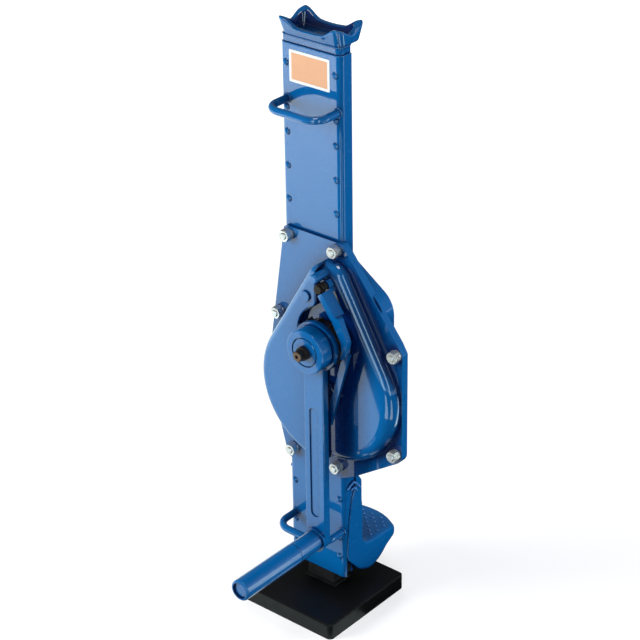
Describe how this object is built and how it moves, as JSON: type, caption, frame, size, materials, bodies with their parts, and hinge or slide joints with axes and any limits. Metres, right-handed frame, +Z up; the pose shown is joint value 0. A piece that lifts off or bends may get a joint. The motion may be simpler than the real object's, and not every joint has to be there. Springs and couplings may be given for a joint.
{
  "type": "rack and pinion jack",
  "caption": "Hand-cranked steel lifting jack: a housing with a load head and a low claw climbs a toothed rack on a foot plate, with a geared safety crank and carry handles.",
  "frame": {"origin": "centre of the foot plate's underside", "axes": "+Z up along the rack, +X to the right of the front plate as seen from the crank, +Y from the crank to the claw"},
  "size_m": [0.199, 0.2931, 0.7325],
  "materials": {
    "blue_paint": "gloss enamel",
    "black_paint": "satin black paint",
    "dark_steel": "oiled mill steel",
    "zinc": "bright zinc plating",
    "black_oxide": "black oxide, oiled",
    "bronze": "machined bronze",
    "brake_lining": "pressed brake lining"
  },
  "bodies": {
    "base": {"foot_plate": "black_paint", "rack": "dark_steel", "rack_weld": "black_paint", "rack_stop_pin": "dark_steel"},
    "housing": {"front_shell": "blue_paint", "rear_shell": "blue_paint", "left_spacer_bar": "dark_steel", "upper_right_spacer_bar": "dark_steel", "lower_right_spacer_bar": "dark_steel", "column_rivets": "blue_paint", "guide_pads": "bronze", "backing_shoe": "bronze", "stop_block": "dark_steel", "upper_carry_handle": "blue_paint", "lower_carry_handle": "blue_paint", "gear_cover": "blue_paint", "plateau_bolt": "blue_paint", "cover_studs": "zinc", "cover_nuts": "zinc", "cover_washers": "zinc", "gear_front_bush": "bronze", "gear_rear_bush": "bronze", "crank_front_bush": "bronze", "crank_rear_bush": "bronze", "pawl_pin": "black_oxide", "pawl_spring": "black_oxide", "load_head": "blue_paint", "claw": "blue_paint"},
    "gear_train": {"gear_shaft": "dark_steel", "large_gear": "dark_steel", "rack_pinion": "dark_steel"},
    "crank": {"crank_shaft": "black_oxide", "crank_pinion": "dark_steel", "thrust_collar": "dark_steel", "friction_disc": "brake_lining", "ratchet_wheel": "black_oxide", "crank_hub": "blue_paint", "hub_retaining_disc": "blue_paint", "shaft_cross_pin": "black_oxide", "crank_arm": "blue_paint", "grip_pin": "blue_paint", "grip_washer": "blue_paint", "grip_collar": "blue_paint"},
    "grip": {"grip_sleeve": "blue_paint"},
    "pawl": {"pawl": "blue_paint"}
  },
  "joints": [
    {"name": "lift", "type": "slide", "parent": "base", "child": "housing", "axis": [0, 0, 1], "range_m": [0, 0.35]},
    {"name": "gear_turn", "type": "hinge", "parent": "housing", "child": "gear_train", "pos_m": [0.03685, 0, 0.308], "axis": [0, 1, 0], "range_deg": [-1003, 0]},
    {"name": "crank_turn", "type": "hinge", "parent": "housing", "child": "crank", "pos_m": [0.0415, 0, 0.3791], "axis": [0, 1, 0], "range_deg": [0, 4713]},
    {"name": "grip_spin", "type": "hinge", "parent": "crank", "child": "grip", "pos_m": [0.0415, -0.15, 0.1267], "axis": [0, 1, 0], "continuous": true},
    {"name": "pawl_lift", "type": "hinge", "parent": "housing", "child": "pawl", "pos_m": [0.0405, -0.04, 0.4461], "axis": [0, -1, 0], "range_deg": [0, 12], "stiffness_Nm_per_rad": 0.05}
  ],
  "couplings": [
    {"joint": "gear_turn", "follows": "lift", "rad_per_m": -50},
    {"joint": "crank_turn", "follows": "lift", "rad_per_m": 235}
  ]
}
